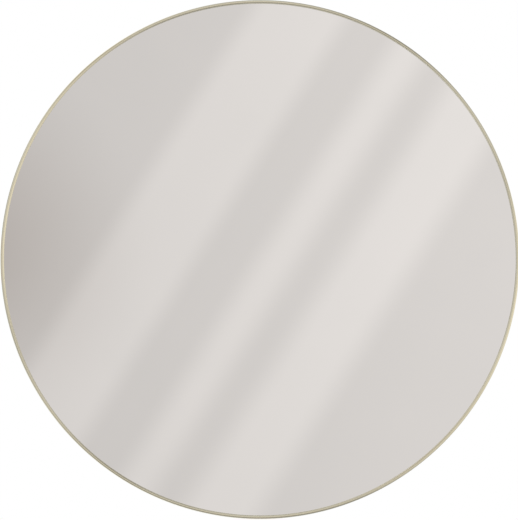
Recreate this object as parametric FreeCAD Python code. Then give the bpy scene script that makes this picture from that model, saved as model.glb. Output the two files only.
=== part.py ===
import FreeCAD
import Part
import math
import os

# Round wall mirror in a slim rolled metal frame, hung from two D-rings.
# Millimetres. +Z is up, the glass faces -Y and the wall is at +Y.
# The origin lies on the wall plane, at the centre of the ring.
# A depth is measured from the crest of the front lip towards the wall.

# Frame: one extrusion, rolled to a ring, with its two ends butted at 6 o'clock
mirror_diameter = 800.0
lip_width = 5.0
lip_rise = 1.2
lip_edge = 1.4
side_wall = 1.5
shelf_width = 10.7
shelf_thickness = 1.2
channel_wall = 1.2
channel_depth = 3.3
rear_lip_width = 1.8
rear_lip_thickness = 1.2
joint_gap = 0.15

# Glass and what lies in front of it and round it
gasket_thickness = 0.8
gasket_set_back = 0.2
gasket_side_play = 0.4
glass_thickness = 4.0
glass_arris = 0.5
glass_edge_gap = 1.0
spacer_count = 6
spacer_length = 22.0
spacer_play = 0.05

# Layers behind the glass
silver_thickness = 0.1
film_thickness = 0.2
tape_thickness = 1.0
tape_width = 25.0
tape_count = 7
tape_edge_gap = 12.0
board_thickness = 9.0
board_edge_gap = 2.0

# Spring clips between the board and the frame's shelf
spring_gap = 2.6
clip_count = 8
clip_sheet = 0.5
clip_width = 12.0
clip_foot = 6.0
clip_ramp = 13.0
clip_pad = 8.0
clip_play = 0.05

# Splice across the frame's butt joint
splice_length = 70.0
splice_thickness = 2.0
splice_side_play = 0.45
splice_end_round = 1.2
splice_screw_diameter = 4.0
splice_screw_stand = 0.7
splice_screw_hole_play = 0.05
splice_screw_shares = (0.42, 0.8)
hex_socket_width = 2.0
hex_socket_depth = 1.8

# Hangers on the board
hanger_spacing = 400.0
hanger_height = 180.0
strap_width = 15.0
strap_sheet = 1.2
strap_length = 48.0
strap_end_round = 5.5
strap_fold_radius = 1.2
strap_throat = 0.08
ring_wire = 3.0
ring_wire_sides = 12
ring_side_play = 0.3
ring_corner_radius = 2.5
ring_leg = 1.5
eye_play = 0.05
last_screw_margin = 8.0
screw_pitch = 16.0
screw_shank = 3.5
screw_length = 10.0
screw_head = 7.0
screw_head_height = 2.2
screw_hole_play = 0.5
screw_pilot_play = 0.05
screw_pilot_spare = 0.5
cross_length = 3.6
cross_width = 0.8
cross_depth = 1.3

# Wall bumpers on the frame's rear lips
bumper_count = 4
bumper_height = 2.0
bumper_grip_share = 0.85
bumper_edge_bevel = 0.5

# One overrun serves every cut
overrun = 1.0

# Depths of the layers, from the crest of the lip
gasket_depth = lip_rise + lip_edge
glass_depth = gasket_depth + gasket_thickness
silver_depth = glass_depth + glass_thickness
film_depth = silver_depth + silver_thickness
tape_depth = film_depth + film_thickness
board_depth = tape_depth + tape_thickness
board_rear = board_depth + board_thickness
shelf_depth = board_rear + spring_gap
channel_front = shelf_depth + shelf_thickness
rear_lip_front = channel_front + channel_depth
frame_depth = rear_lip_front + rear_lip_thickness
overall_depth = frame_depth + bumper_height

# Radii of the ring's walls and of the discs inside it
outer_radius = mirror_diameter / 2
lip_radius = outer_radius - lip_width
rebate_radius = outer_radius - side_wall
inner_radius = rebate_radius - shelf_width
channel_inner_radius = inner_radius + channel_wall
slot_inner_radius = channel_inner_radius + rear_lip_width
slot_outer_radius = rebate_radius - rear_lip_width
slot_middle_radius = (slot_inner_radius + slot_outer_radius) / 2
glass_radius = rebate_radius - glass_edge_gap
coat_radius = glass_radius - glass_arris
board_radius = rebate_radius - board_edge_gap

# Hanger places: the eye lies on the board, and its centre is the ring's pivot
eye_radius = ring_wire / 2 + eye_play
pivot_depth = board_rear + strap_sheet + eye_radius
ring_half_width = strap_width / 2 + ring_side_play + ring_corner_radius
ring_top = ring_corner_radius + ring_leg + ring_half_width

axis_y = FreeCAD.Vector(0, 1, 0)
centre = FreeCAD.Vector(0, 0, 0)


def wall_y(depth):
    """Y of a depth measured from the crest of the front lip."""
    return depth - overall_depth


def rounded_outline(corners, to_space):
    """Closed wire through corners (u, v, rounding radius)."""
    points = [FreeCAD.Vector(u, v, 0) for u, v, radius in corners]
    stretches = []
    for index, corner in enumerate(points):
        radius = corners[index][2]
        back = (points[index - 1] - corner).normalize()
        ahead = (points[(index + 1) % len(points)] - corner).normalize()
        half_angle = back.getAngle(ahead) / 2
        reach = radius / math.tan(half_angle)
        inward = (back + ahead).normalize()
        middle = corner + inward * (radius / math.sin(half_angle) - radius)
        stretches.append((corner + back * reach, middle, corner + ahead * reach))
    edges = []
    for index, (start, middle, end) in enumerate(stretches):
        last_end = stretches[index - 1][2]
        if (start - last_end).Length > Part.Precision.approximation():
            edges.append(Part.LineSegment(to_space(last_end), to_space(start)).toShape())
        if (end - start).Length > Part.Precision.approximation():
            edges.append(Part.Arc(to_space(start), to_space(middle), to_space(end)).toShape())
    return Part.Wire(edges)


def disc(radius, depth, thickness):
    """Round plate about the mirror's axis."""
    return Part.makeCylinder(radius, thickness, FreeCAD.Vector(0, wall_y(depth), 0), axis_y)


def turned(shape, degrees):
    """Copy of a shape turned about the mirror's axis."""
    copy = shape.copy()
    copy.rotate(centre, axis_y, degrees)
    return copy


def round_the_ring(shape, count, first_share):
    """Copies spaced evenly round the ring, the first a share of a step past the top."""
    step = 360 / count
    return Part.makeCompound([turned(shape, step * (first_share + turn)) for turn in range(count)])


def radial_point(radius, depth):
    """Point of a section below the axis."""
    return FreeCAD.Vector(0, wall_y(depth), -radius)


def frame_ring():
    """Extrusion section swept round the axis from one end of the butt joint to the other."""
    outer_side = radial_point(outer_radius, lip_rise)
    crest = radial_point(outer_radius - lip_width / 2, 0)
    inner_side = radial_point(lip_radius, lip_rise)
    lip_front = Part.Arc(outer_side, crest, inner_side).toShape()
    corners = [
        (lip_radius, gasket_depth),
        (rebate_radius, gasket_depth),
        (rebate_radius, shelf_depth),
        (inner_radius, shelf_depth),
        (inner_radius, frame_depth),
        (slot_inner_radius, frame_depth),
        (slot_inner_radius, rear_lip_front),
        (channel_inner_radius, rear_lip_front),
        (channel_inner_radius, channel_front),
        (rebate_radius, channel_front),
        (rebate_radius, rear_lip_front),
        (slot_outer_radius, rear_lip_front),
        (slot_outer_radius, frame_depth),
        (outer_radius, frame_depth),
    ]
    walls = [radial_point(radius, depth) for radius, depth in corners]
    flats = Part.makePolygon([inner_side, *walls, outer_side]).Edges
    section = Part.Face(Part.Wire([lip_front, *flats]))
    gap_angle = math.degrees(joint_gap / outer_radius)
    section.rotate(centre, axis_y, gap_angle / 2)
    return section.revolve(centre, axis_y, 360 - gap_angle)


def glazing_gasket():
    """Flat strip between the front lip and the glass."""
    outside = disc(rebate_radius - gasket_side_play, gasket_depth, gasket_thickness)
    return outside.cut(disc(lip_radius + gasket_set_back, gasket_depth, gasket_thickness))


def mirror_glass():
    """Float glass disc, its silvered rear edge arrissed."""
    plate = disc(glass_radius, glass_depth, glass_thickness)
    return plate.makeChamfer(glass_arris, [rear_rim(plate)])


def edge_spacers():
    """Rubber pads in the gap between the glass and the frame's side wall."""
    band = disc(rebate_radius - spacer_play, glass_depth, glass_thickness)
    band = band.cut(disc(glass_radius + spacer_play, glass_depth, glass_thickness))
    window = Part.makeBox(
        spacer_length,
        glass_thickness,
        mirror_diameter,
        FreeCAD.Vector(-spacer_length / 2, wall_y(glass_depth), 0),
    )
    return round_the_ring(band.common(window), spacer_count, 0.5)


def foam_tape():
    """Level strips of double-sided tape, trimmed to a circle inside the board's edge."""
    reach = board_radius - tape_edge_gap
    pitch = 2 * reach / tape_count
    field = disc(reach, tape_depth, tape_thickness)
    strips = []
    for row in range(tape_count):
        height = pitch * (row + 0.5) - reach
        strip = Part.makeBox(
            2 * reach,
            tape_thickness,
            tape_width,
            FreeCAD.Vector(-reach, wall_y(tape_depth), height - tape_width / 2),
        )
        strips.append(strip.common(field))
    return Part.makeCompound(strips)


def screw_places(side):
    """Screw axes of one hanger, on the board's rear face."""
    x = side * hanger_spacing / 2
    last_drop = strap_length - last_screw_margin
    drops = [last_drop - screw_pitch, last_drop]
    return [FreeCAD.Vector(x, wall_y(board_rear), hanger_height - drop) for drop in drops]


def backing_board():
    """Round board with a pilot hole for each hanger screw."""
    board = disc(board_radius, board_depth, board_thickness)
    pilot_depth = screw_length - 2 * strap_sheet + screw_pilot_spare
    pilot_radius = screw_shank / 2 + screw_pilot_play
    for side in (-1, 1):
        for place in screw_places(side):
            board = board.cut(Part.makeCylinder(pilot_radius, pilot_depth, place, -axis_y))
    return board


def spring_clips():
    """Bent strips: the pad in the middle bears on the board, the feet under the frame's shelf."""
    pad_face = clip_play
    foot_face = spring_gap - clip_play - clip_sheet
    steps = [
        (clip_pad / 2, pad_face),
        (clip_pad / 2 + clip_ramp, foot_face),
        (clip_pad / 2 + clip_ramp + clip_foot, foot_face),
    ]
    near = [(-x, rise) for x, rise in reversed(steps)] + steps
    far = [(x, rise + clip_sheet) for x, rise in reversed(near)]
    inside = coat_radius - clip_width
    points = [FreeCAD.Vector(x, wall_y(board_rear + rise), inside) for x, rise in near + far]
    outline = Part.makePolygon(points + points[:1])
    clip = Part.Face(outline).extrude(FreeCAD.Vector(0, 0, clip_width))
    return round_the_ring(clip, clip_count, 0.5)


def rear_rim(cylinder):
    """The circle at the wall end of a plain cylinder along Y."""
    rims = [edge for edge in cylinder.Edges if len(edge.Vertexes) == 1]
    return max(rims, key=lambda edge: edge.CenterOfMass.y)


def splice_screw_angles():
    """Angles of the grub screws from 6 o'clock, two on each side of the joint."""
    half_angle = math.degrees(splice_length / 2 / slot_middle_radius)
    return [side * share * half_angle for side in (-1, 1) for share in splice_screw_shares]


def splice_plate():
    """Curved flat bar in the rear channel, tapped for the grub screws."""
    outside = rebate_radius - splice_side_play
    inside = channel_inner_radius + splice_side_play
    depth = rear_lip_front - splice_thickness
    half_angle = splice_length / 2 / slot_middle_radius
    corners = [
        radial_point(inside, depth),
        radial_point(outside, depth),
        radial_point(outside, rear_lip_front),
        radial_point(inside, rear_lip_front),
    ]
    section = Part.Face(Part.makePolygon(corners + corners[:1]))
    section.rotate(centre, axis_y, -math.degrees(half_angle))
    plate = section.revolve(centre, axis_y, 2 * math.degrees(half_angle))
    ends = [edge for edge in plate.Edges if is_end_corner(edge)]
    plate = plate.makeFillet(splice_end_round, ends)
    hole_radius = splice_screw_diameter / 2 + splice_screw_hole_play
    start = radial_point(slot_middle_radius, depth - overrun)
    hole = Part.makeCylinder(hole_radius, splice_thickness + 2 * overrun, start, axis_y)
    for angle in splice_screw_angles():
        plate = plate.cut(turned(hole, angle))
    return plate


def is_end_corner(edge):
    """True for a straight edge that runs through the thickness."""
    ends = [vertex.Point for vertex in edge.Vertexes]
    return len(ends) == 2 and (ends[1] - ends[0]).cross(axis_y).Length < Part.Precision.approximation()


def hex_prism(width, height, place):
    """Hexagon bar along Y, its width across flats."""
    corner = width / 2 / math.cos(math.pi / 6)
    points = []
    for turn in range(6):
        angle = turn * math.pi / 3
        points.append(place + FreeCAD.Vector(corner * math.cos(angle), 0, corner * math.sin(angle)))
    return Part.Face(Part.makePolygon(points + points[:1])).extrude(axis_y * height)


def splice_screws():
    """Grub screws that bear on the shelf and force the plate against the rear lips."""
    length = channel_depth + splice_screw_stand
    foot = radial_point(slot_middle_radius, channel_front)
    screw = Part.makeCylinder(splice_screw_diameter / 2, length, foot, axis_y)
    socket_foot = foot + axis_y * (length - hex_socket_depth)
    screw = screw.cut(hex_prism(hex_socket_width, hex_socket_depth + overrun, socket_foot))
    return Part.makeCompound([turned(screw, angle) for angle in splice_screw_angles()])


def strap_section():
    """Side view of a strap folded double round the ring's bar, from the pivot.

    y runs from the board to the wall, z upwards. The sheet rises along the board,
    wraps the bar and comes down again on its own back.
    """
    front = -eye_radius - strap_sheet
    back = front + 2 * strap_sheet
    wrap_radius = eye_radius + strap_sheet
    fold_y = back + strap_fold_radius
    fold_drop = math.sqrt((wrap_radius + strap_fold_radius) ** 2 - fold_y**2)
    to_fold = FreeCAD.Vector(0, fold_y, -fold_drop).normalize()
    fold_centre = FreeCAD.Vector(0, fold_y, -fold_drop)
    bottom = -strap_length

    def arc(about, radius, start, end, via):
        points = [about + direction * radius for direction in (start, via, end)]
        return Part.Arc(*points).toShape()

    def line(start, end):
        return Part.LineSegment(start, end).toShape()

    to_board = FreeCAD.Vector(0, -1, 0)
    up = FreeCAD.Vector(0, 0, 1)
    into_fold = (to_board - to_fold).normalize()
    outer_start = FreeCAD.Vector(0, front, 0)
    outer_end = FreeCAD.Vector(0, back, -fold_drop)
    outside = [
        line(FreeCAD.Vector(0, front, bottom), outer_start),
        arc(centre, wrap_radius, to_board, to_fold, (up - to_board).normalize()),
        arc(fold_centre, strap_fold_radius, -to_fold, to_board, into_fold),
        line(outer_end, FreeCAD.Vector(0, back, bottom)),
        line(FreeCAD.Vector(0, back, bottom), FreeCAD.Vector(0, front, bottom)),
    ]
    throat_radius = strap_fold_radius + strap_sheet
    throat_angle = math.acos(1 - strap_throat / throat_radius)
    to_throat = FreeCAD.Vector(0, -math.cos(throat_angle), math.sin(throat_angle))
    throat = fold_centre + to_throat * throat_radius
    throat_foot = FreeCAD.Vector(0, -eye_radius, throat.z)
    inside = [
        arc(centre, eye_radius, to_board, to_fold, (up - to_board).normalize()),
        arc(fold_centre, throat_radius, -to_fold, to_throat, (to_throat - to_fold).normalize()),
        line(throat, throat_foot),
        line(throat_foot, FreeCAD.Vector(0, -eye_radius, 0)),
    ]
    return Part.Face(Part.Wire(outside)).cut(Part.Face(Part.Wire(inside)))


def hanger_strap(side):
    """Folded strap with a rounded foot and two screw holes."""
    half = strap_width / 2
    blank = strap_section().extrude(FreeCAD.Vector(strap_width, 0, 0))
    blank.translate(FreeCAD.Vector(-half, 0, 0))
    top = eye_radius + strap_sheet + overrun
    corners = [
        (-half, -strap_length, strap_end_round),
        (half, -strap_length, strap_end_round),
        (half, top, 0),
        (-half, top, 0),
    ]
    back_y = -eye_radius - strap_sheet
    depth = 2 * (eye_radius + strap_sheet)
    plan = Part.Face(rounded_outline(corners, lambda p: FreeCAD.Vector(p.x, back_y, p.y)))
    strap = blank.common(plan.extrude(axis_y * depth))
    pivot = FreeCAD.Vector(side * hanger_spacing / 2, wall_y(pivot_depth), hanger_height)
    strap.translate(pivot)
    hole_radius = (screw_shank + screw_hole_play) / 2
    for place in screw_places(side):
        start = place - axis_y * overrun
        hole = Part.makeCylinder(hole_radius, 2 * (strap_sheet + overrun), start, axis_y)
        strap = strap.cut(hole)
    return strap


def pan_head_screw(place):
    """Plain shank under a flat round head with a cross recess, the head on the strap."""
    seat = place + axis_y * 2 * strap_sheet
    head = Part.makeCylinder(screw_head / 2, screw_head_height, seat, axis_y)
    screw = head.fuse(Part.makeCylinder(screw_shank / 2, screw_length, seat, -axis_y))
    recess_floor = seat + axis_y * (screw_head_height - cross_depth)
    for wide, high in ((cross_length, cross_width), (cross_width, cross_length)):
        corner = recess_floor - FreeCAD.Vector(wide / 2, 0, high / 2)
        screw = screw.cut(Part.makeBox(wide, cross_depth + overrun, high, corner))
    return screw


def hanger_screws(side):
    """The two screws of one hanger."""
    return Part.makeCompound([pan_head_screw(place) for place in screw_places(side)])


def d_ring(side):
    """Wire bent to a D, swept from the middle of its bar with a many-sided section."""
    corners = [
        (ring_half_width, 0, ring_corner_radius),
        (ring_half_width, ring_top, ring_half_width),
        (-ring_half_width, ring_top, ring_half_width),
        (-ring_half_width, 0, ring_corner_radius),
    ]
    path = rounded_outline(corners, lambda p: FreeCAD.Vector(p.x, 0, p.y))
    bar = path.OrderedEdges[0]
    start = bar.valueAt(bar.FirstParameter)
    section = []
    for turn in range(ring_wire_sides):
        angle = 2 * math.pi * turn / ring_wire_sides
        around = FreeCAD.Vector(0, math.cos(angle), math.sin(angle))
        section.append(start + around * (ring_wire / 2))
    ring = path.makePipeShell([Part.makePolygon(section + section[:1])], True, False)
    ring.translate(FreeCAD.Vector(side * hanger_spacing / 2, wall_y(pivot_depth), hanger_height))
    return ring


def wall_bumpers():
    """Rubber feet across the two rear lips of the frame."""
    slot_width = slot_outer_radius - slot_inner_radius
    grip = bumper_grip_share * (channel_wall + rear_lip_width)
    foot = FreeCAD.Vector(0, wall_y(frame_depth), slot_middle_radius)
    bumper = Part.makeCylinder(slot_width / 2 + grip, bumper_height, foot, axis_y)
    bumper = bumper.makeChamfer(bumper_edge_bevel, [rear_rim(bumper)])
    return round_the_ring(bumper, bumper_count, 0.5)


pieces = {
    "frame_ring": frame_ring(),
    "splice_plate": splice_plate(),
    "splice_screws": splice_screws(),
    "glazing_gasket": glazing_gasket(),
    "mirror_glass": mirror_glass(),
    "edge_spacers": edge_spacers(),
    "silver_coating": disc(coat_radius, silver_depth, silver_thickness),
    "safety_film": disc(coat_radius, film_depth, film_thickness),
    "foam_tape": foam_tape(),
    "backing_board": backing_board(),
    "spring_clips": spring_clips(),
    "left_hanger_strap": hanger_strap(-1),
    "right_hanger_strap": hanger_strap(1),
    "left_hanger_screws": hanger_screws(-1),
    "right_hanger_screws": hanger_screws(1),
    "left_d_ring": d_ring(-1),
    "right_d_ring": d_ring(1),
    "wall_bumpers": wall_bumpers(),
}

os.makedirs("parts", exist_ok=True)
for name, piece in pieces.items():
    piece.exportStep(f"parts/{name}.step")
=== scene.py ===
import math

import bmesh
import bpy
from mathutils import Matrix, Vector


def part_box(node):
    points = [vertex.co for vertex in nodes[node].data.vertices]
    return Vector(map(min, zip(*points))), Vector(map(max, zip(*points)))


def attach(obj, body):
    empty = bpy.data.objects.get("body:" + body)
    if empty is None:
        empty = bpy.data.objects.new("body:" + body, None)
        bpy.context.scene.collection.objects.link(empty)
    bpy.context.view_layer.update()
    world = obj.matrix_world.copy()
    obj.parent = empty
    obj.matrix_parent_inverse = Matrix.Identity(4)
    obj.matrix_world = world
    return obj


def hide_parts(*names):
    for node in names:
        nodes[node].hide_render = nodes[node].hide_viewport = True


# Round wall mirror in a slim satin metal frame, hung from two D-rings.
# Metres. +Z is up, the glass faces -Y and the wall is at +Y.
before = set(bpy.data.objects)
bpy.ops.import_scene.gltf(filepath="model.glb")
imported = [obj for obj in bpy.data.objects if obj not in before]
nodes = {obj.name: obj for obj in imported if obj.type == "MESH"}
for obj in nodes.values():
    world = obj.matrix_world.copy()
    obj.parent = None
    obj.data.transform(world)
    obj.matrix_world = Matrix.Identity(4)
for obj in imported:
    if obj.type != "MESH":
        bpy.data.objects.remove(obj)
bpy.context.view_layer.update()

MM = 0.001

# Framing of the photograph, in pixels: its size, and the centre and radius of the mirror's outline
photo_width = 518
photo_height = 520
outline_x = 259.95
outline_y = 259.55
outline_radius = 259.45
camera_distance = 3.0
sensor_width = 36.0

# Frame section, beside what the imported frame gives
lip_width = 5.0 * MM
lip_rise = 1.2 * MM
lip_edge = 1.4 * MM
side_wall = 1.5 * MM
shelf_width = 10.7 * MM
shelf_thickness = 1.2 * MM
spring_gap = 2.6 * MM
channel_wall = 1.2 * MM
rear_lip_width = 1.8 * MM
rear_lip_thickness = 1.2 * MM
joint_gap = 0.15 * MM
fine_round = 0.2 * MM
rear_round = 0.35 * MM
ring_steps = 360
lip_steps = 28

# D-rings, hanger screws and bumpers
wire_radius = 1.5 * MM
wire_corner = 2.5 * MM
wire_sides = 24
wire_point_gap = 0.15 * MM
screw_head_radius = 3.5 * MM
screw_shank_radius = 1.75 * MM
screw_head_height = 2.2 * MM
screw_head_round = 1.4 * MM
cross_half_length = 1.8 * MM
cross_half_width = 0.4 * MM
cross_depth = 1.3 * MM
cross_floor_share = 0.55
bumper_radius = 5.5 * MM
bumper_round = 0.7 * MM
bumper_count = 4
turned_steps = 48

# Edge breaks on the pressed and cut steel parts
strap_edge = 0.15 * MM
plate_edge = 0.2 * MM
grub_edge = 0.25 * MM
edge_segments = 2
weld_reach = 0.001 * MM

# Round corners are drawn with one point for each of these angles
corner_step = math.radians(12)
sharp_angle = math.radians(35)

# A noise texture mostly stays in this range
noise_low, noise_high = 0.3, 0.7
# Handling marks are brighter than the metal round them
mark_gain = 1.15

# Studio: what the mirror and the lip show. The wall's places are in mirror radii as the camera sees them
studio_radius = 5.0
studio_segments = 64
studio_rings = 32
wall_level = 0.712
wall_across = 0.050
wall_along = 0.038
wall_tint = (1.0, 0.955, 0.925)
band_tilt = math.radians(58)
# Bands of light on the wall: lower edge, upper edge, softness and strength
light_bands = [
    (-0.540, -0.215, 0.055, 0.13),
    (-0.005, 0.125, 0.060, 0.135),
    (0.262, 0.512, 0.065, 0.135),
]
# More bands further out, each so many times further than the last
outer_band_start = 1.5
outer_band_growth = 1.55
outer_band_share = 0.3
outer_band_softness = 0.10
outer_band_strength = 0.13
outer_band_count = 5
for turn in range(outer_band_count):
    near = outer_band_start * outer_band_growth**turn
    far = near * (1 + outer_band_share)
    soft = near * outer_band_softness
    light_bands.append((near, far, soft, outer_band_strength))
    light_bands.append((-far, -near, soft, outer_band_strength))
# Soft shade at the left of the wall: centre, reach and tint
shade_centre = (-1.15, 0.05)
shade_reach = 0.80
shade_tint = (0.79, 0.73, 0.69)
# Soft lights and dimmer gaps round the studio: place, strength and tint.
# A place is in turns, from the right over the top. The lip's outer half shows the light on its own
# side and its inner half the light opposite, so each strength has to suit both
daylight = (0.94, 0.985, 1.07)
lamplight = (1.0, 0.985, 0.95)
plain_light = (1.0, 1.0, 1.0)
near_lights = (
    (0.00, 0.85, plain_light),
    (0.05, 0.45, daylight),
    (0.10, 0.70, daylight),
    (0.15, 0.30, daylight),
    (0.25, 0.70, daylight),
    (0.31, 0.55, daylight),
    (0.36, 0.40, plain_light),
    (0.42, 0.70, daylight),
    (0.50, 0.65, daylight),
    (0.55, 0.40, daylight),
    (0.60, 0.55, daylight),
    (0.66, 0.30, daylight),
    (0.80, 0.30, daylight),
    (0.88, 0.70, plain_light),
    (1.00, 0.85, plain_light),
)
far_lights = (
    (0.00, 0.95, plain_light),
    (0.13, 0.35, plain_light),
    (0.25, 0.35, plain_light),
    (0.35, 0.95, lamplight),
    (0.48, 0.35, lamplight),
    (0.60, 0.95, daylight),
    (0.70, 0.95, daylight),
    (0.82, 0.45, daylight),
    (1.00, 0.95, plain_light),
)
# Behind the mirror the studio only darkens from the top down
rear_top = (0.95, 0.95, 0.95)
rear_bottom = (0.30, 0.30, 0.31)
# Angles off the mirror's axis between which one zone of the studio passes into the next
near_start, near_end = math.radians(12.5), math.radians(18)
far_start, far_end = math.radians(66), math.radians(78)
rear_start, rear_end = math.radians(108), math.radians(140)

# Lamps: place, size, power
lamps = (
    ("key_lamp", (-2.6, -3.4, 2.6), 2.2, 110.0),
    ("fill_lamp", (3.2, -3.0, 0.8), 2.6, 60.0),
    ("rear_lamp", (2.0, 3.6, 2.4), 2.2, 120.0),
    ("rear_fill_lamp", (-3.2, 2.8, 0.6), 2.6, 50.0),
)
world_level = 0.42
floor_height = -1.5
floor_radius = 14.0
floor_segments = 96
floor_fade_start = 0.8
floor_fade_end = 4.0

ring_low, ring_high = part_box("frame_ring")
glass_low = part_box("mirror_glass")[0]
board_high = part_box("backing_board")[1]
outer_radius = min(ring_high.x, ring_high.z)
crest_y = ring_low.y


def rounded_path(corners, closed=True):
    """Points (u, v) through corners (u, v, rounding radius)."""
    points = [Vector((u, v)) for u, v, radius in corners]
    count = len(points)
    path = []
    for index, corner in enumerate(points):
        radius = corners[index][2]
        if radius == 0 or (not closed and index in (0, count - 1)):
            path.append(corner)
            continue
        back = (points[index - 1] - corner).normalized()
        ahead = (points[(index + 1) % count] - corner).normalized()
        half_angle = back.angle(ahead) / 2
        middle = corner + (back + ahead).normalized() * (radius / math.sin(half_angle))
        first = corner + back * (radius / math.tan(half_angle)) - middle
        last = corner + ahead * (radius / math.tan(half_angle)) - middle
        turn = first.angle_signed(last)
        steps = max(2, round(abs(turn) / corner_step))
        for step in range(steps + 1):
            angle = -turn * step / steps
            cosine, sine = math.cos(angle), math.sin(angle)
            spoke = Vector((first.x * cosine - first.y * sine, first.x * sine + first.y * cosine))
            path.append(middle + spoke)
    return path


def object_from(mesh, name):
    """Finished mesh as an object of the scene."""
    data = bpy.data.meshes.new(name)
    mesh.to_mesh(data)
    mesh.free()
    made = bpy.data.objects.new(name, data)
    bpy.context.scene.collection.objects.link(made)
    return made


def piece_from(mesh, name, body, replaced):
    """Finished mesh as a piece that rides on a body and stands for a node."""
    mesh.normal_update()
    piece = object_from(mesh, name)
    for polygon in piece.data.polygons:
        polygon.use_smooth = True
    piece.data.set_sharp_from_angle(angle=sharp_angle)
    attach(piece, body)
    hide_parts(replaced)
    return piece


def join_loops(mesh, loops, closed):
    """Faces between neighbouring loops of vertices, each loop closed in itself."""
    pairs = list(zip(loops, loops[1:]))
    if closed:
        pairs.append((loops[-1], loops[0]))
    for one, other in pairs:
        for index in range(len(one)):
            following = (index + 1) % len(one)
            mesh.faces.new((one[index], one[following], other[following], other[index]))


def frame_section():
    """Section of the frame as (radius, y), from the lip's crest round the channel."""
    lip_y = crest_y + lip_rise
    gasket_y = lip_y + lip_edge
    shelf_y = board_high.y + spring_gap
    channel_y = shelf_y + shelf_thickness
    rear_y = ring_high.y
    rear_lip_y = rear_y - rear_lip_thickness
    lip_radius = outer_radius - lip_width
    rebate = outer_radius - side_wall
    inner = rebate - shelf_width
    channel_inner = inner + channel_wall
    slot_inner = channel_inner + rear_lip_width
    slot_outer = rebate - rear_lip_width
    half = lip_width / 2
    arc_radius = (half**2 + lip_rise**2) / (2 * lip_rise)
    half_angle = math.asin(half / arc_radius)
    middle_radius = outer_radius - half
    corners = []
    for step in range(lip_steps + 1):
        angle = half_angle * (1 - 2 * step / lip_steps)
        radius = middle_radius + arc_radius * math.sin(angle)
        y = crest_y + arc_radius * (1 - math.cos(angle))
        end = step in (0, lip_steps)
        corners.append((radius, y, fine_round if end else 0))
    corners += [
        (lip_radius, gasket_y, fine_round),
        (rebate, gasket_y, 0),
        (rebate, shelf_y, 0),
        (inner, shelf_y, fine_round),
        (inner, rear_y, rear_round),
        (slot_inner, rear_y, fine_round),
        (slot_inner, rear_lip_y, fine_round),
        (channel_inner, rear_lip_y, 0),
        (channel_inner, channel_y, fine_round),
        (rebate, channel_y, fine_round),
        (rebate, rear_lip_y, 0),
        (slot_outer, rear_lip_y, fine_round),
        (slot_outer, rear_y, fine_round),
        (outer_radius, rear_y, rear_round),
    ]
    return rounded_path(corners)


def rolled_ring():
    """Frame section rolled once round, from one end of the butt joint to the other."""
    section = frame_section()
    gap_angle = joint_gap / outer_radius
    mesh = bmesh.new()
    loops = []
    for step in range(ring_steps + 1):
        angle = gap_angle / 2 + (2 * math.pi - gap_angle) * step / ring_steps
        sine, cosine = math.sin(angle), math.cos(angle)
        loops.append([mesh.verts.new((-r * sine, y, -r * cosine)) for r, y in section])
    join_loops(mesh, loops, closed=False)
    mesh.faces.new(list(reversed(loops[0])))
    mesh.faces.new(loops[-1])
    bmesh.ops.recalc_face_normals(mesh, faces=mesh.faces[:])
    return piece_from(mesh, "rolled_frame", "mirror", "frame_ring")


def turned_solid(mesh, profile, place):
    """Solid of revolution about a line along Y, its profile (radius, y) from pole to pole."""
    poles = [mesh.verts.new(place + Vector((0, y, 0))) for r, y in (profile[0], profile[-1])]
    loops = []
    for step in range(turned_steps):
        angle = 2 * math.pi * step / turned_steps
        around = Vector((math.sin(angle), 0, math.cos(angle)))
        loops.append([mesh.verts.new(place + around * r + Vector((0, y, 0))) for r, y in profile[1:-1]])
    for index, loop in enumerate(loops):
        following = loops[(index + 1) % turned_steps]
        mesh.faces.new((poles[0], loop[0], following[0]))
        mesh.faces.new((poles[1], following[-1], loop[-1]))
        for low in range(len(loop) - 1):
            mesh.faces.new((loop[low], loop[low + 1], following[low + 1], following[low]))


def wire_ring(side, body):
    """Round wire bent to a D, its bar in the strap's eye."""
    node = f"{side}_d_ring"
    low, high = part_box(node)
    middle = (low + high) / 2
    half_width = (high.x - low.x) / 2 - wire_radius
    top = high.z - low.z - 2 * wire_radius
    corners = [
        (half_width, 0, wire_corner),
        (half_width, top, half_width),
        (-half_width, top, half_width),
        (-half_width, 0, wire_corner),
    ]
    bend = rounded_path(corners)
    path = []
    for index, point in enumerate(bend):
        if (point - bend[index - 1]).length > wire_point_gap:
            path.append(point)
    origin = Vector((middle.x, middle.y, low.z + wire_radius))
    mesh = bmesh.new()
    loops = []
    for index, point in enumerate(path):
        along = (path[(index + 1) % len(path)] - path[index - 1]).normalized()
        outward = Vector((along.y, 0, -along.x))
        centre = origin + Vector((point.x, 0, point.y))
        loop = []
        for turn in range(wire_sides):
            angle = 2 * math.pi * turn / wire_sides
            spoke = outward * math.cos(angle) + Vector((0, math.sin(angle), 0))
            loop.append(mesh.verts.new(centre + spoke * wire_radius))
        loops.append(loop)
    join_loops(mesh, loops, closed=True)
    bmesh.ops.recalc_face_normals(mesh, faces=mesh.faces[:])
    return piece_from(mesh, f"{side}_d_ring_wire", body, node)


def cross_outline(long, wide):
    """Corners (x, z) of a cross, in order round it."""
    arm = ((wide, long), (wide, wide), (long, wide))
    corners = []
    for turn in range(4):
        quarter = turn * math.pi / 2
        cosine, sine = math.cos(quarter), math.sin(quarter)
        corners += [(x * cosine + z * sine, z * cosine - x * sine) for x, z in arm]
    return corners


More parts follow.
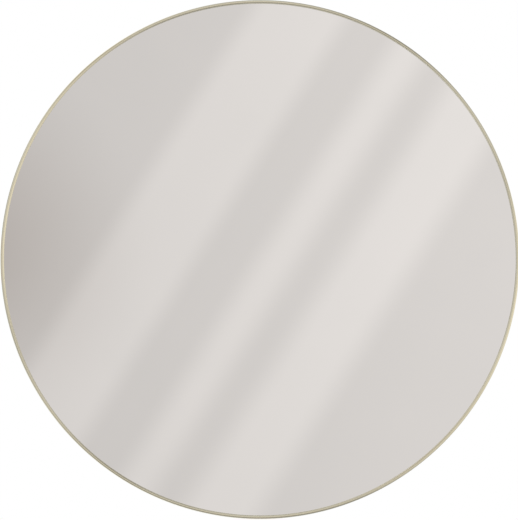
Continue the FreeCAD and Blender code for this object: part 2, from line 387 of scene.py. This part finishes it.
def cross_cutter(places, top_y):
    """Tapered cross recesses, wide at the head's face and narrow at their floor."""
    mesh = bmesh.new()
    top = cross_outline(cross_half_length, cross_half_width)
    floor = cross_outline(cross_half_length * cross_floor_share, cross_half_width * cross_floor_share)
    for place in places:
        rings = []
        for y, outline in ((top_y + fine_round, top), (top_y - cross_depth, floor)):
            rings.append([mesh.verts.new((place.x + x, y, place.z + z)) for x, z in outline])
        join_loops(mesh, rings, closed=False)
        mesh.faces.new(rings[0])
        mesh.faces.new(list(reversed(rings[1])))
    bmesh.ops.recalc_face_normals(mesh, faces=mesh.faces[:])
    return object_from(mesh, "cross_cutter")


def hanger_screws(side):
    """The two pan head screws of one hanger, each with a cross recess."""
    node = f"{side}_hanger_screws"
    low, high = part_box(node)
    x = (low.x + high.x) / 2
    seat = high.y - screw_head_height
    places = [Vector((x, 0, z)) for z in (low.z + screw_head_radius, high.z - screw_head_radius)]
    corners = [
        (0, high.y, 0),
        (screw_head_radius, high.y, screw_head_round),
        (screw_head_radius, seat, fine_round),
        (screw_shank_radius, seat, 0),
        (screw_shank_radius, low.y + screw_shank_radius, 0),
        (0, low.y, 0),
    ]
    profile = rounded_path(corners, closed=False)
    mesh = bmesh.new()
    for place in places:
        turned_solid(mesh, profile, place)
    bmesh.ops.recalc_face_normals(mesh, faces=mesh.faces[:])
    piece = piece_from(mesh, f"{side}_pan_head_screws", "mirror", node)
    cutter = cross_cutter(places, high.y)
    cut = piece.modifiers.new("cross", "BOOLEAN")
    cut.object = cutter
    cut.solver = "EXACT"
    bpy.context.view_layer.update()
    evaluated = piece.evaluated_get(bpy.context.evaluated_depsgraph_get())
    finished = bpy.data.meshes.new_from_object(evaluated)
    piece.modifiers.clear()
    piece.data = finished
    finished.set_sharp_from_angle(angle=sharp_angle)
    bpy.data.objects.remove(cutter)
    return piece


def rubber_bumpers():
    """Rubber feet with a rounded rear edge, across the frame's rear lips."""
    low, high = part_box("wall_bumpers")
    ring_radius = (high.x - bumper_radius) * math.sqrt(2)
    corners = [
        (0, low.y, 0),
        (bumper_radius, low.y, 0),
        (bumper_radius, high.y, bumper_round),
        (0, high.y, 0),
    ]
    profile = rounded_path(corners, closed=False)
    mesh = bmesh.new()
    for turn in range(bumper_count):
        angle = 2 * math.pi * (turn + 0.5) / bumper_count
        turned_solid(mesh, profile, Vector((math.sin(angle), 0, math.cos(angle))) * ring_radius)
    bmesh.ops.recalc_face_normals(mesh, faces=mesh.faces[:])
    return piece_from(mesh, "rounded_bumpers", "mirror", "wall_bumpers")


def break_edges(node, width):
    """Small edge rounds on a node that keeps its own mesh."""
    weld = nodes[node].modifiers.new("weld", "WELD")
    weld.merge_threshold = weld_reach
    bevel = nodes[node].modifiers.new("edges", "BEVEL")
    bevel.width = width
    bevel.segments = edge_segments
    bevel.limit_method = "ANGLE"
    bevel.angle_limit = sharp_angle
    bevel.harden_normals = True


def add_node(tree, kind, inputs, **settings):
    """Node of a kind with its settings and inputs, each input a value or another node's socket."""
    made = tree.nodes.new(kind)
    for name, value in settings.items():
        setattr(made, name, value)
    for name, value in inputs.items():
        if isinstance(value, bpy.types.NodeSocket):
            tree.links.new(value, made.inputs[name])
        else:
            made.inputs[name].default_value = value
    return made


def maths(tree, operation, first, second=0.0):
    """Result of a maths node."""
    return add_node(tree, "ShaderNodeMath", {0: first, 1: second}, operation=operation).outputs[0]


def remap(tree, value, low, high, to_low=0.0, to_high=1.0, smooth=False):
    """A value brought from one range to another and kept inside it."""
    kind = "SMOOTHSTEP" if smooth else "LINEAR"
    inputs = {"Value": value, "From Min": low, "From Max": high, "To Min": to_low, "To Max": to_high}
    return add_node(tree, "ShaderNodeMapRange", inputs, interpolation_type=kind).outputs["Result"]


def mixed(tree, factor, first, second):
    """Two colours mixed by a factor."""
    made = add_node(tree, "ShaderNodeMix", {}, data_type="RGBA")
    for socket, value in (("Factor_Float", factor), ("A_Color", first), ("B_Color", second)):
        target = next(one for one in made.inputs if one.identifier == socket)
        if isinstance(value, bpy.types.NodeSocket):
            tree.links.new(value, target)
        elif socket == "Factor_Float":
            target.default_value = value
        else:
            target.default_value = (*value, 1.0)
    return next(one for one in made.outputs if one.identifier == "Result_Color")


def noise(tree, where, scale, detail, roughness=0.5):
    """Value of a noise texture, about 0.5 in the middle."""
    inputs = {"Vector": where, "Scale": scale, "Detail": detail, "Roughness": roughness}
    return add_node(tree, "ShaderNodeTexNoise", inputs).outputs["Fac"]


def stretched(tree, where, scales):
    """Coordinates scaled along each axis."""
    inputs = {0: where, 1: scales}
    return add_node(tree, "ShaderNodeVectorMath", inputs, operation="MULTIPLY").outputs["Vector"]


def spread(tree, texture, to_low=0.0, to_high=1.0):
    """A noise texture's usual range brought to a range of its own."""
    return remap(tree, texture, noise_low, noise_high, to_low, to_high)


def length_of(tree, first, second):
    """Length of two components at right angles."""
    squares = maths(tree, "ADD", maths(tree, "POWER", first, 2.0), maths(tree, "POWER", second, 2.0))
    return maths(tree, "SQRT", squares)


def scaled_colour(tree, colour, level):
    """A colour times a brightness."""
    inputs = {0: colour, "Scale": level}
    return add_node(tree, "ShaderNodeVectorMath", inputs, operation="SCALE").outputs["Vector"]


def bumped(tree, height, distance, strength):
    """Normal of a bump, its distance in metres."""
    inputs = {"Height": height, "Distance": distance, "Strength": strength}
    return add_node(tree, "ShaderNodeBump", inputs).outputs["Normal"]


def new_material(name, metallic=0.0, roughness=0.5):
    """Material with its node tree, its shader and the object's own coordinates."""
    material = bpy.data.materials.new(name)
    material.use_nodes = True
    tree = material.node_tree
    shader = tree.nodes["Principled BSDF"]
    shader.inputs["Metallic"].default_value = metallic
    shader.inputs["Roughness"].default_value = roughness
    where = add_node(tree, "ShaderNodeTexCoord", {}).outputs["Object"]
    return material, tree, shader, where


def dress(tree, shader, colour=None, roughness=None, normal=None):
    """Joins the sockets that a material varies to its shader."""
    for name, socket in (("Base Color", colour), ("Roughness", roughness), ("Normal", normal)):
        if socket is not None:
            tree.links.new(socket, shader.inputs[name])


def satin_brass():
    """Pale brass anodising over fine brushing that runs round the ring."""
    material, tree, shader, where = new_material("satin_pale_brass", metallic=1.0)
    parts = add_node(tree, "ShaderNodeSeparateXYZ", {0: where}).outputs
    angle = maths(tree, "ARCTAN2", parts["X"], parts["Z"])
    radius = length_of(tree, parts["X"], parts["Z"])
    inputs = {"X": radius, "Y": parts["Y"], "Z": angle}
    rolled = add_node(tree, "ShaderNodeCombineXYZ", inputs).outputs["Vector"]
    lines = noise(tree, stretched(tree, rolled, (9000.0, 9000.0, 22.0)), 1.0, 3.0, 0.6)
    streaks = noise(tree, stretched(tree, rolled, (700.0, 700.0, 6.0)), 1.0, 2.0)
    clouds = noise(tree, where, 9.0, 3.0)
    tone = mixed(tree, spread(tree, clouds), (0.82, 0.740, 0.535), (0.87, 0.790, 0.580))
    tone = mixed(tree, remap(tree, streaks, 0.35, 0.65, 0.0, 0.35), tone, (0.88, 0.810, 0.61))
    brushed = spread(tree, lines, 0.15, 0.24)
    rough = maths(tree, "ADD", brushed, spread(tree, clouds, 0.0, 0.04))
    dress(tree, shader, tone, rough, bumped(tree, lines, 0.004 * MM, 0.5))
    return material


def silvered_glass():
    """Front of the silvered glass: a clean reflection with the faint waves of float glass."""
    material, tree, shader, where = new_material("silvered_glass", metallic=1.0)
    waves = noise(tree, stretched(tree, where, (5.0, 5.0, 2.0)), 1.0, 2.0)
    haze = noise(tree, where, 7.0, 4.0)
    tone = mixed(tree, spread(tree, haze), (0.893, 0.895, 0.890), (0.907, 0.907, 0.902))
    rough = spread(tree, haze, 0.004, 0.016)
    dress(tree, shader, tone, rough, bumped(tree, waves, 0.01 * MM, 0.3))
    return material


def fibre_board():
    """Raw fibreboard: matted fibres, mottled patches, a few darker chips and slow changes of tone."""
    material, tree, shader, where = new_material("raw_fibreboard")
    inputs = {"Vector": where, "Scale": 520.0, "Detail": 6.0, "Roughness": 0.72, "Distortion": 1.6}
    fibres = add_node(tree, "ShaderNodeTexNoise", inputs).outputs["Fac"]
    patches = noise(tree, where, 75.0, 6.0, 0.75)
    clouds = noise(tree, where, 6.0, 5.0)
    chips = noise(tree, stretched(tree, where, (330.0, 330.0, 560.0)), 1.0, 2.0)
    tone = mixed(tree, remap(tree, fibres, 0.34, 0.68), (0.33, 0.215, 0.12), (0.53, 0.38, 0.235))
    tone = mixed(tree, remap(tree, patches, 0.38, 0.62, 0.0, 0.5), tone, (0.36, 0.235, 0.135))
    tone = mixed(tree, remap(tree, clouds, 0.35, 0.65, 0.0, 0.35), tone, (0.49, 0.35, 0.215))
    tone = mixed(tree, remap(tree, chips, 0.70, 0.77, 0.0, 0.55), tone, (0.20, 0.12, 0.065))
    rough = remap(tree, fibres, 0.34, 0.68, 0.92, 0.76)
    dress(tree, shader, tone, rough, bumped(tree, fibres, 0.06 * MM, 0.5))
    return material


def plated_steel(name, dark, light, low_rough, high_rough, grain):
    """Steel with a plated or blued skin: fine grain, blotches and handling marks."""
    material, tree, shader, where = new_material(name, metallic=1.0)
    blotches = noise(tree, where, 160.0, 4.0, 0.6)
    fine = noise(tree, where, grain, 4.0, 0.7)
    marks = noise(tree, stretched(tree, where, (2600.0, 900.0, 500.0)), 1.0, 2.0)
    tone = mixed(tree, spread(tree, blotches), dark, light)
    polished = tuple(mark_gain * part for part in light)
    tone = mixed(tree, remap(tree, marks, 0.62, 0.72, 0.0, 0.4), tone, polished)
    rough = spread(tree, fine, low_rough, high_rough)
    dress(tree, shader, tone, rough, bumped(tree, fine, 0.01 * MM, 0.5))
    return material


def moulded_rubber(name, dark, light):
    """Rubber with a fine matt grain and a little dust."""
    material, tree, shader, where = new_material(name)
    grain = noise(tree, where, 2800.0, 3.0)
    dust = noise(tree, where, 90.0, 5.0, 0.6)
    tone = mixed(tree, remap(tree, dust, 0.4, 0.75), dark, light)
    rough = remap(tree, dust, 0.4, 0.75, 0.62, 0.85)
    dress(tree, shader, tone, rough, bumped(tree, grain, 0.02 * MM, 0.6))
    return material


def cell_foam():
    """White foam with its small cells, their hollows darkened with painted shade."""
    material, tree, shader, where = new_material("white_foam", roughness=0.9)
    inputs = {"Vector": where, "Scale": 1500.0}
    cells = add_node(tree, "ShaderNodeTexVoronoi", inputs).outputs["Distance"]
    # Painted shade: each cell's hollow, low in the bump, is darker than the rim round it
    tone = mixed(tree, remap(tree, cells, 0.0, 0.8), (0.62, 0.62, 0.60), (0.86, 0.86, 0.83))
    dress(tree, shader, tone, None, bumped(tree, cells, 0.1 * MM, 0.6))
    return material


def smooth_sheet(name, dark, light, low_rough, high_rough):
    """Film or paint: an even skin with a slow orange-peel texture."""
    material, tree, shader, where = new_material(name)
    peel = noise(tree, where, 240.0, 3.0)
    clouds = noise(tree, where, 14.0, 4.0)
    tone = mixed(tree, spread(tree, clouds), dark, light)
    rough = spread(tree, peel, low_rough, high_rough)
    dress(tree, shader, tone, rough, bumped(tree, peel, 0.02 * MM, 0.5))
    return material


def studio_shell():
    """Sphere round the mirror that only reflections see: a wall with bands of light, and soft lights."""
    mesh = bmesh.new()
    bmesh.ops.create_uvsphere(
        mesh,
        u_segments=studio_segments,
        v_segments=studio_rings,
        radius=studio_radius,
    )
    shell = object_from(mesh, "studio_shell")
    shell.visible_camera = False
    shell.visible_diffuse = False
    shell.visible_transmission = False
    shell.visible_volume_scatter = False
    shell.visible_shadow = False
    shell.data.materials.append(studio_material())


def banded_light(tree, across):
    """How much brighter the bands make the wall at a place across them."""
    gain = 1.0
    for low, high, soft, strength in light_bands:
        rise = remap(tree, across, low - soft, low + soft, 0.0, strength, smooth=True)
        fall = remap(tree, across, high - soft, high + soft, 1.0, 0.0, smooth=True)
        gain = maths(tree, "ADD", maths(tree, "MULTIPLY", rise, fall), gain)
    return gain


def wall_colour(tree, wall_x, wall_z, across):
    """Colour of the wall between its bands: brighter to the upper right, shaded at the left."""
    sine, cosine = math.sin(band_tilt), math.cos(band_tilt)
    slope_x = maths(tree, "MULTIPLY", wall_x, cosine)
    slope_z = maths(tree, "MULTIPLY", wall_z, sine)
    along = maths(tree, "ADD", slope_x, slope_z)
    level = remap(tree, across, -1.0, 1.0, wall_level - wall_across, wall_level + wall_across)
    level = maths(tree, "ADD", level, remap(tree, along, -1.0, 1.0, -wall_along, wall_along))
    off_x = maths(tree, "SUBTRACT", wall_x, shade_centre[0])
    off_z = maths(tree, "SUBTRACT", wall_z, shade_centre[1])
    shade = remap(tree, length_of(tree, off_x, off_z), 0.0, shade_reach, 1.0, 0.0, smooth=True)
    return scaled_colour(tree, mixed(tree, shade, wall_tint, shade_tint), level)


def light_ramp(tree, turn, lights):
    """Colour of the light at a direction round the mirror's axis."""
    ramp = add_node(tree, "ShaderNodeValToRGB", {"Fac": turn})
    ramp.color_ramp.interpolation = "EASE"
    stops = ramp.color_ramp.elements
    while len(stops) < len(lights):
        stops.new(0.5)
    for stop, (place, strength, tint) in zip(stops, lights):
        stop.position = place
        stop.color = (*(strength * part for part in tint), 1.0)
    return ramp.outputs["Color"]


def wall_place(tree, parts, forward):
    """Where a direction meets the wall, in mirror radii as the camera sees them."""
    bounce = (studio_radius + glass_low.y) / (camera_distance + glass_low.y)
    seen_radius = outer_radius * (1 + bounce) / studio_radius
    depth = maths(tree, "MULTIPLY", maths(tree, "MAXIMUM", forward, seen_radius), seen_radius)
    return maths(tree, "DIVIDE", parts["X"], depth), maths(tree, "DIVIDE", parts["Z"], depth)


def across_bands(tree, wall_x, wall_z):
    """How far a place on the wall lies across its slanting bands."""
    slope_x = maths(tree, "MULTIPLY", wall_x, math.sin(band_tilt))
    slope_z = maths(tree, "MULTIPLY", wall_z, math.cos(band_tilt))
    return maths(tree, "SUBTRACT", slope_x, slope_z)


def light_beside_wall(tree, parts, off_axis):
    """Light round the wall, near its edge and further out, by direction round the mirror's axis."""
    turn = maths(tree, "DIVIDE", maths(tree, "ARCTAN2", parts["Z"], parts["X"]), 2 * math.pi)
    turn = maths(tree, "FRACT", maths(tree, "ADD", turn, 1.0))
    far_share = remap(tree, off_axis, far_start, far_end, smooth=True)
    near_light = light_ramp(tree, turn, near_lights)
    far_light = light_ramp(tree, turn, far_lights)
    return mixed(tree, far_share, near_light, far_light)


def studio_material():
    """Emission of the studio by direction from the mirror."""
    material = bpy.data.materials.new("studio_light")
    material.use_nodes = True
    material.cycles.emission_sampling = "NONE"
    tree = material.node_tree
    tree.nodes.clear()
    where = add_node(tree, "ShaderNodeTexCoord", {}).outputs["Object"]
    parts = add_node(tree, "ShaderNodeSeparateXYZ", {0: where}).outputs
    forward = maths(tree, "MULTIPLY", parts["Y"], -1.0)
    off_axis = maths(tree, "ARCTAN2", length_of(tree, parts["X"], parts["Z"]), forward)
    wall_x, wall_z = wall_place(tree, parts, forward)
    across = across_bands(tree, wall_x, wall_z)
    round_light = light_beside_wall(tree, parts, off_axis)
    near_share = remap(tree, off_axis, near_start, near_end, smooth=True)
    front = mixed(tree, near_share, wall_colour(tree, wall_x, wall_z, across), round_light)
    front = scaled_colour(tree, front, banded_light(tree, across))
    height = remap(tree, parts["Z"], -studio_radius, studio_radius, smooth=True)
    rear_share = remap(tree, off_axis, rear_start, rear_end, smooth=True)
    colour = mixed(tree, rear_share, front, mixed(tree, height, rear_bottom, rear_top))
    emission = add_node(tree, "ShaderNodeEmission", {"Color": colour, "Strength": 1.0})
    output = add_node(tree, "ShaderNodeOutputMaterial", {})
    tree.links.new(emission.outputs[0], output.inputs["Surface"])
    return material


def seen_directly(tree):
    """1 for rays from the camera and for those seen in metal and glass."""
    path = add_node(tree, "ShaderNodeLightPath", {}).outputs
    glossy = maths(tree, "ADD", path["Is Camera Ray"], path["Is Glossy Ray"])
    return maths(tree, "MINIMUM", maths(tree, "ADD", glossy, path["Is Transmission Ray"]), 1.0)


def white_world():
    """World that is white where it is seen and lights the object at a plain level."""
    world = bpy.data.worlds.new("white_world")
    bpy.context.scene.world = world
    world.use_nodes = True
    tree = world.node_tree
    background = tree.nodes["Background"]
    background.inputs["Color"].default_value = (1.0, 1.0, 1.0, 1.0)
    strength = remap(tree, seen_directly(tree), 0.0, 1.0, world_level, 1.0)
    tree.links.new(strength, background.inputs["Strength"])


def pale_floor():
    """Round pale floor below the mirror that fades to white far out."""
    mesh = bmesh.new()
    bmesh.ops.create_circle(mesh, cap_ends=True, segments=floor_segments, radius=floor_radius)
    floor = object_from(mesh, "floor")
    floor.location.z = floor_height
    floor.visible_glossy = False
    material, tree, shader, where = new_material("pale_floor", roughness=0.9)
    grain = noise(tree, where, 3.0, 4.0)
    dress(tree, shader, mixed(tree, grain, (0.86, 0.86, 0.86), (0.90, 0.90, 0.90)))
    distance = add_node(tree, "ShaderNodeVectorMath", {0: where}, operation="LENGTH").outputs["Value"]
    fade = remap(tree, distance, floor_fade_start, floor_fade_end, smooth=True)
    factor = maths(tree, "MULTIPLY", fade, seen_directly(tree))
    white = add_node(tree, "ShaderNodeEmission", {"Color": (1.0, 1.0, 1.0, 1.0)}).outputs[0]
    both = add_node(tree, "ShaderNodeMixShader", {0: factor, 1: shader.outputs[0], 2: white})
    tree.links.new(both.outputs[0], tree.nodes["Material Output"].inputs["Surface"])
    floor.data.materials.append(material)


def soft_lamps():
    """Large soft lamps that reflections don't see."""
    for name, place, size, power in lamps:
        light = bpy.data.lights.new(name, "AREA")
        light.shape = "DISK"
        light.size = size
        light.energy = power
        lamp = bpy.data.objects.new(name, light)
        lamp.location = place
        lamp.rotation_euler = (-Vector(place)).to_track_quat("-Z", "Y").to_euler()
        lamp.visible_glossy = False
        bpy.context.scene.collection.objects.link(lamp)


def photo_camera():
    """Camera square on to the mirror, framed as the photograph is."""
    camera = bpy.data.cameras.new("camera")
    camera.sensor_fit = "HORIZONTAL"
    camera.sensor_width = sensor_width
    outline_distance = camera_distance + crest_y + lip_rise
    camera.lens = sensor_width * outline_radius / photo_width * outline_distance / outer_radius
    camera.shift_x = (photo_width / 2 - outline_x) / photo_width
    camera.shift_y = (outline_y - photo_height / 2) / photo_width
    holder = bpy.data.objects.new("camera", camera)
    holder.location = (0, -camera_distance, 0)
    holder.rotation_euler = (math.pi / 2, 0, 0)
    bpy.context.scene.collection.objects.link(holder)
    bpy.context.scene.camera = holder


zinc = plated_steel("bright_zinc", (0.56, 0.57, 0.59), (0.69, 0.70, 0.70), 0.26, 0.42, 1500.0)
spring = plated_steel("spring_steel", (0.25, 0.26, 0.29), (0.36, 0.37, 0.39), 0.28, 0.42, 1800.0)
black = plated_steel("black_oxide", (0.030, 0.030, 0.032), (0.055, 0.055, 0.060), 0.38, 0.55, 2200.0)
brass = satin_brass()
bumper = moulded_rubber("bumper_rubber", (0.022, 0.022, 0.024), (0.050, 0.049, 0.048))
node_materials = {
    "mirror_glass": silvered_glass(),
    "silver_coating": smooth_sheet("backing_paint", (0.11, 0.125, 0.12), (0.14, 0.155, 0.15), 0.5, 0.65),
    "safety_film": smooth_sheet("safety_film", (0.52, 0.54, 0.56), (0.58, 0.60, 0.61), 0.3, 0.45),
    "foam_tape": cell_foam(),
    "backing_board": fibre_board(),
    "glazing_gasket": moulded_rubber("gasket_rubber", (0.014, 0.014, 0.014), (0.030, 0.030, 0.030)),
    "edge_spacers": moulded_rubber("spacer_rubber", (0.016, 0.016, 0.016), (0.034, 0.034, 0.034)),
    "spring_clips": spring,
    "splice_plate": zinc,
    "splice_screws": black,
    "left_hanger_strap": zinc,
    "right_hanger_strap": zinc,
    "left_hanger_screws": zinc,
    "right_hanger_screws": zinc,
    "left_d_ring": zinc,
    "right_d_ring": zinc,
    "frame_ring": brass,
    "wall_bumpers": bumper,
}
for node, material in node_materials.items():
    nodes[node].data.materials.clear()
    nodes[node].data.materials.append(material)

rolled_ring().data.materials.append(brass)
rubber_bumpers().data.materials.append(bumper)
for side in ("left", "right"):
    wire_ring(side, f"{side}_ring").data.materials.append(zinc)
    hanger_screws(side).data.materials.append(zinc)
    break_edges(f"{side}_hanger_strap", strap_edge)
break_edges("splice_plate", plate_edge)
break_edges("splice_screws", grub_edge)

studio_shell()
white_world()
pale_floor()
soft_lamps()
photo_camera()
bpy.context.scene.view_settings.view_transform = "Standard"
